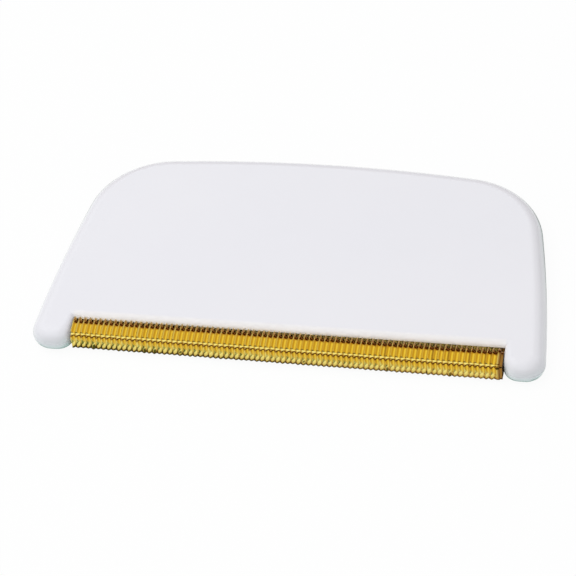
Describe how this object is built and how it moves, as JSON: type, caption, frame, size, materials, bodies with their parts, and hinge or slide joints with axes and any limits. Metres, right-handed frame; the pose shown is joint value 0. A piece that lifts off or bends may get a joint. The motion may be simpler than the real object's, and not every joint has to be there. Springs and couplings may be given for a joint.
{
  "type": "sweater comb",
  "caption": "Flat hand comb that takes pills off knitwear: a moulded handle with feet at its lower corners and a pleated brass strip between them.",
  "frame": {"origin": "middle of the underside of the body as it lies on its back, which is the outer face of the rear shell", "axes": "+X along the comb edge, +Y from the comb edge up the handle to the crown, +Z through the thickness to the outer face of the front shell"},
  "size_m": [0.09, 0.048, 0.005],
  "materials": {
    "front_shell": "polished white styrene",
    "rear_shell": "polished white styrene",
    "comb_strip": "bright rolled foil, sharply pleated",
    "core_bar": "plain extruded"
  },
  "bodies": {
    "root": {"front_shell": "front_shell", "rear_shell": "rear_shell", "comb_strip": "comb_strip", "core_bar": "core_bar"}
  },
  "joints": []
}
